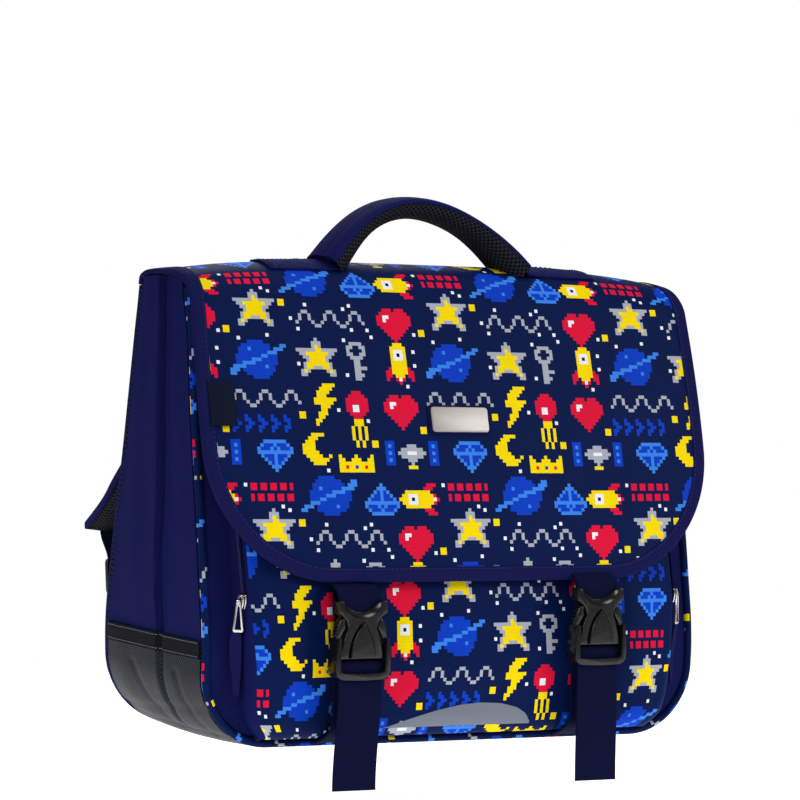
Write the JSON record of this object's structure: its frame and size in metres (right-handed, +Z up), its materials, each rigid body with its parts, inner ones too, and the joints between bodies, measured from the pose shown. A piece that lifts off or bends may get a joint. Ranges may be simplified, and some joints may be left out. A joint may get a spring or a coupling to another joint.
{
  "type": "school ransel",
  "caption": "Child's school satchel worn as a backpack: printed flap with two buckled straps, three front pockets, carry handle and padded shoulder straps.",
  "frame": {"origin": "underside of the carry handle's crown, where a hand or a hook holds the bag up", "axes": "+Z up, +Y from the flap's front to the back that lies on the wearer, +X to the right seen from the front"},
  "size_m": [0.396, 0.2543, 0.3972],
  "materials": {
    "printed_cloth": "satin",
    "navy_cloth": "satin",
    "binding_tape": "matte",
    "rubberised_cloth": "satin",
    "spacer_mesh": "matte",
    "webbing": "matte",
    "acetal": "gloss",
    "nickel_plate": "polished",
    "reflective_film": "satin"
  },
  "bodies": {
    "root": {"front_panel": "printed_cloth", "back_panel": "spacer_mesh", "piping_front": "printed_cloth", "base_boot": "rubberised_cloth", "gusset_left": "navy_cloth", "gusset_right": "navy_cloth", "flap": "printed_cloth", "flap_binding": "binding_tape", "plate_backing": "binding_tape", "plate": "nickel_plate", "flap_tag": "binding_tape", "pocket_left": "printed_cloth", "pocket_centre": "printed_cloth", "pocket_right": "printed_cloth", "reflector": "reflective_film", "handle_cover": "navy_cloth", "handle_mesh": "spacer_mesh", "handle_end_left": "navy_cloth", "handle_end_right": "navy_cloth", "zip_left": "webbing", "zip_slider_left": "nickel_plate", "zip_puller_left": "nickel_plate", "zip_tab_left": "binding_tape", "flap_strap_left": "webbing", "buckle_female_left": "acetal", "buckle_male_left": "acetal", "closing_strap_left": "webbing", "shoulder_pad_left": "printed_cloth", "shoulder_web_left": "webbing", "adjuster_left": "acetal", "zip_right": "webbing", "zip_slider_right": "nickel_plate", "zip_puller_right": "nickel_plate", "zip_tab_right": "binding_tape", "flap_strap_right": "webbing", "buckle_female_right": "acetal", "buckle_male_right": "acetal", "closing_strap_right": "webbing", "shoulder_pad_right": "printed_cloth", "shoulder_web_right": "webbing", "adjuster_right": "acetal"}
  },
  "joints": []
}
